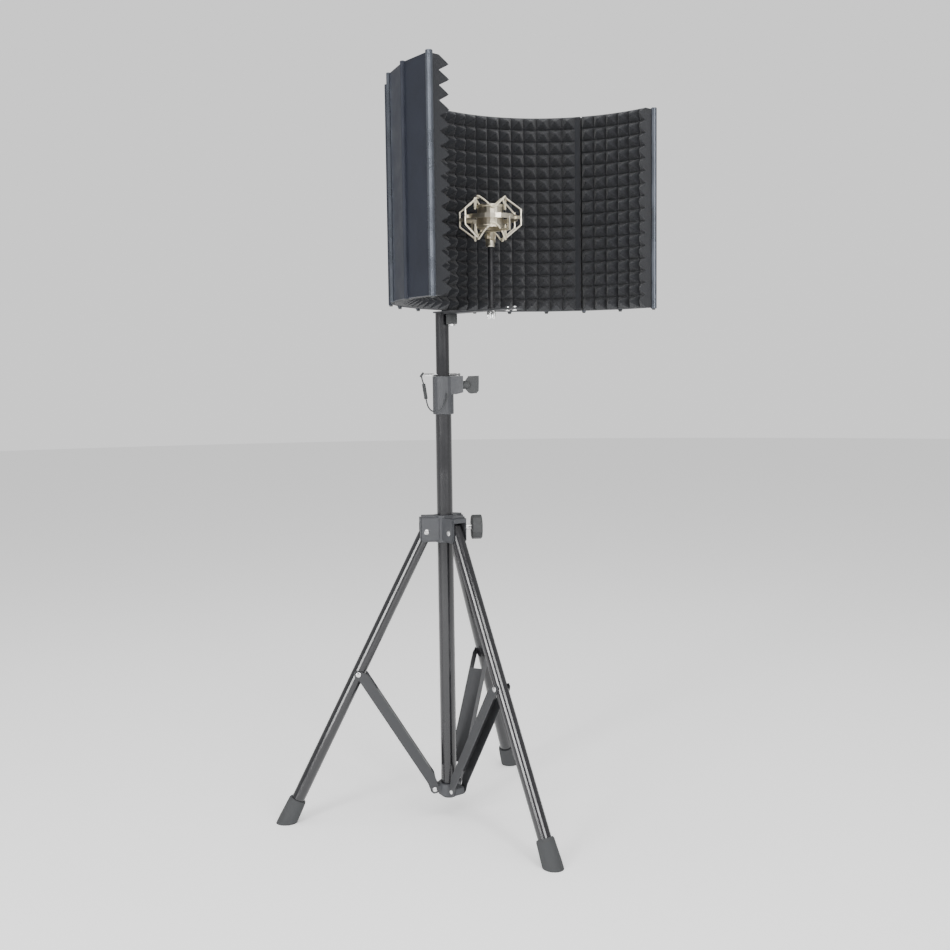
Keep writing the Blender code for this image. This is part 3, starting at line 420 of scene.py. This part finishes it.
def wound_sleeve(place):
    """The bound stretch of the lanyard: close turns over the cord."""
    start, end = Vector(COIL_TOP), Vector(COIL_END)
    way = end - start
    turn = way.to_track_quat("Z", "Y").to_matrix().to_4x4()
    turns, per_turn = 13, 8
    inner = LANYARD_R + 0.0001
    profile = [(inner, 0.0)]
    for k in range(turns * per_turn + 1):
        ridge = math.sqrt(abs(math.sin(math.pi * k / per_turn)))
        profile.append((COIL_R - 0.0009 + 0.0008 * ridge, way.length * k / (turns * per_turn)))
    profile.append((inner, way.length))
    verts, faces = turned(profile, place @ Matrix.Translation(start) @ turn, 24, hollow=True)
    return piece("lanyard_sleeve", verts, faces, "dark_rubber", "safety_pin", ["lanyard_coil"], 60)


# ---------------------------------------------------------------- pyramid foam
FOAM_ROWS = 16
FOAM_BACK_R = 0.2705
FOAM_TIP_R = 0.2325
PYRAMID_HEIGHT = 0.0210
COLUMN_ANGLE = math.radians(120 / 22)   # the middle pad has 21 columns and a margin at each seam
WING_CELLS = 5.5                # a wing's foam is cut through the middle of a pyramid at its free end
CELL_STEPS = 8


def pyramid(u, v):
    """Height from 0 to 1 over a cell whose u and v run from -1 to 1, a little rounded at the tip."""
    out = max(abs(u), abs(v))
    tip = 0.10
    if out < tip:
        return 1 - tip / 2 - out * out / (2 * tip)
    return 1 - out


def foam_pad(name, body, node, first, last, columns, offset, cell=COLUMN_ANGLE):
    """A pad on the arc from angle first to last, with columns of pyramids from offset onwards.

    A column that passes either end is cut off there.
    """
    shape_random = np.random.default_rng(len(name) + columns)
    lean = shape_random.normal(0.0, 0.025, (columns + 1, FOAM_ROWS))
    pitch = (FOAM_HIGH - FOAM_LOW) / FOAM_ROWS
    angles = [first]
    for k in range(columns * CELL_STEPS + 1):
        angles.append(first + offset + cell * k / CELL_STEPS)
    angles.append(last)
    angles = sorted({round(min(max(a, first), last), 7) for a in angles})
    heights = [FOAM_LOW + pitch * k / CELL_STEPS for k in range(FOAM_ROWS * CELL_STEPS + 1)]
    rows = []
    for z in heights:
        row = []
        for a in angles:
            across = (a - first - offset) / cell
            up = (z - FOAM_LOW) / pitch
            h = 0.0
            if -1e-6 < across < columns + 1e-6:
                column, line = min(int(across), columns - 1), min(int(up), FOAM_ROWS - 1)
                h = pyramid(2 * (across - column) - 1, 2 * (up - line) - 1) * (1 + lean[column][line])
            row.append((a, z, FOAM_TIP_R + PYRAMID_HEIGHT * (1 - h)))
        back = [(a, z, FOAM_BACK_R) for a in reversed(angles)]
        rows.append(row + back)
    verts = [ARC + Vector((r * math.sin(a), r * math.cos(a), z)) for row in rows for a, z, r in row]
    faces = strip_faces(rows)
    count = len(rows[0])
    half = count // 2
    for start in (0, (len(rows) - 1) * count):
        for i in range(half - 1):
            faces.append((start + i, start + i + 1, start + count - 2 - i, start + count - 1 - i))
    pad = piece(name, verts, faces, "charcoal_foam", body, [node], 25)
    return pad


def shield_foam():
    seam = math.radians(0.35)
    hinge, end = HINGE_RIB * RIB_STEP, END_RIB * RIB_STEP - math.radians(0.4)
    room = 22 * COLUMN_ANGLE - 2 * seam
    foam_pad("foam_pyramids_center", "head", "foam_center", -hinge + seam, hinge - seam, 21,
             (room - 21 * COLUMN_ANGLE) / 2)
    cell = (end - hinge - seam) / WING_CELLS
    foam_pad("foam_pyramids_right", "wing_right", "foam_right", hinge + seam, end, 6, 0.0, cell)
    foam_pad("foam_pyramids_left", "wing_left", "foam_left", -end, -hinge - seam, 6, -cell / 2, cell)


# ---------------------------------------------------------------- small hardware
def rib_bolts():
    """A dark bolt head under each rib."""
    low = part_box("hinge_rib_left")[0].z
    for k in range(-END_RIB, END_RIB + 1):
        body = "head" if abs(k) <= HINGE_RIB else ("wing_left" if k < 0 else "wing_right")
        at = ARC + Vector((SHIELD_R * math.sin(k * RIB_STEP), SHIELD_R * math.cos(k * RIB_STEP), low))
        side = "mid" if k == 0 else ("left" if k < 0 else "right")
        profile = [(0.0010, -0.0024), (0.0026, -0.0024), (0.0031, -0.0017), (0.0032, 0.0002),
                   (0.0010, 0.0002)]
        verts, faces = turned(profile, Matrix.Translation(at), 24)
        piece(f"rib_bolt_{side}_{abs(k)}", verts, faces, "knob_plastic", body)


def brace_rivet_heads():
    """A bright domed head on each side of a brace, over its rivet."""
    for name in ("left", "front", "right"):
        at = middle(f"brace_rivet_{name}")
        pivot = middle(f"hub_rivet_{name}")
        out = (Vector((pivot.x, pivot.y, 0)) - MAST).normalized()
        across = Vector((-out.y, out.x, 0))
        for side in (-1, 1):
            turn = (across * side).to_track_quat("Z", "Y").to_matrix().to_4x4()
            base = at + across * side * BRACE_HALF
            dome = [(0.0050 * math.cos(t), 0.0014 * math.sin(t)) for t in np.linspace(0, math.radians(84), 8)]
            verts, faces = turned([(0.0050, -0.0003)] + dome, Matrix.Translation(base) @ turn, 28)
            end = "a" if side < 0 else "b"
            piece(f"brace_rivet_head_{name}_{end}", verts, faces, "bright_steel", f"brace_{name}")


def knurled(name, node, body, slot, radius, ridges, depth, low, high):
    """A knurled grip that stands in for a CAD knob turned about the vertical."""
    at = middle(node)
    place = Matrix.Translation((at.x, at.y, 0))

    def ridge(a, z):
        return 1 - depth * (0.5 - 0.5 * math.cos(ridges * a))
    edge = 0.0008
    profile = [(0.0036, low), (radius - edge, low), (radius, low + edge), (radius, high - edge),
               (radius - edge, high), (0.0036, high)]
    verts, faces = turned(profile, place, ridges * 6, ridge)
    return piece(name, verts, faces, slot, body, [node], 40)


def elastic_strands():
    """Cream cords from the frame's hooks to the sleeve."""
    for name, side in (("upper", 1), ("lower", -1)):
        stops = []
        for k, azimuth in enumerate(HOOKS_AT):
            gap = (HOOKS_AT[(k + 1) % 4] - azimuth) % 360
            stops.append((azimuth, CORD_PATH_R, side * HOOK_Z))
            for part, z in ((0.25, 0.0255), (0.50, 0.0135), (0.75, 0.0255)):
                stops.append((azimuth + gap * part, CORD_PATH_R, side * z + CLAMP_OFFSET))
        points = [HOOP + Vector((r * math.cos(math.radians(a)), r * math.sin(math.radians(a)), z))
                  for a, r, z in stops]
        verts, faces = ring_tube(points, CORD_R, 12, 12)
        strand = piece(f"elastic_{name}", verts, faces, "cream_elastic", None, [f"elastic_cord_{name}"], 60)
        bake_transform(strand)


def ring_tube(points, radius, sides, per_span):
    count = len(points)
    route = []
    for i in range(count):
        a, b, c, d = (points[(i + k) % count] for k in (-1, 0, 1, 2))
        route += [curve_point(a, b, c, d, k / per_span) for k in range(per_span)]
    rows = []
    for i, at in enumerate(route):
        way = (route[(i + 1) % len(route)] - route[i - 1]).normalized()
        side = way.cross(Vector((0, 0, 1))).normalized()
        up = side.cross(way)
        rows.append([at + radius * (math.cos(2 * math.pi * k / sides) * side
                                    + math.sin(2 * math.pi * k / sides) * up) for k in range(sides)])
    return [v for row in rows for v in row], strip_faces(rows, closed_rows=True)


# ---------------------------------------------------------------- build
MATERIALS = all_materials()
camera()
lanyard()
floor()
backdrop()
studio()
for node_slot in frame["record"]["subparts"]:
    shown = frame["nodes"][node_slot["node"]]
    shown.data.materials.clear()
    shown.data.materials.append(MATERIALS[node_slot["material_slot"]])
shield_foam()
rib_bolts()
brace_rivet_heads()
nut_low, nut_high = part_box("rod_nut")[0].z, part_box("rod_nut")[1].z
knurled("rod_nut_knurled", "rod_nut", "rod_nut", "chrome", NUT_R, 28, 0.07, nut_low, nut_high)
knob_low, knob_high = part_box("clamp_knob")[0].z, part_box("clamp_knob")[1].z
knurled("clamp_knob_knurled", "clamp_knob", "clamp_knob", "knob_plastic", KNOB_R, 26, 0.08,
        knob_low, knob_high)
elastic_strands()
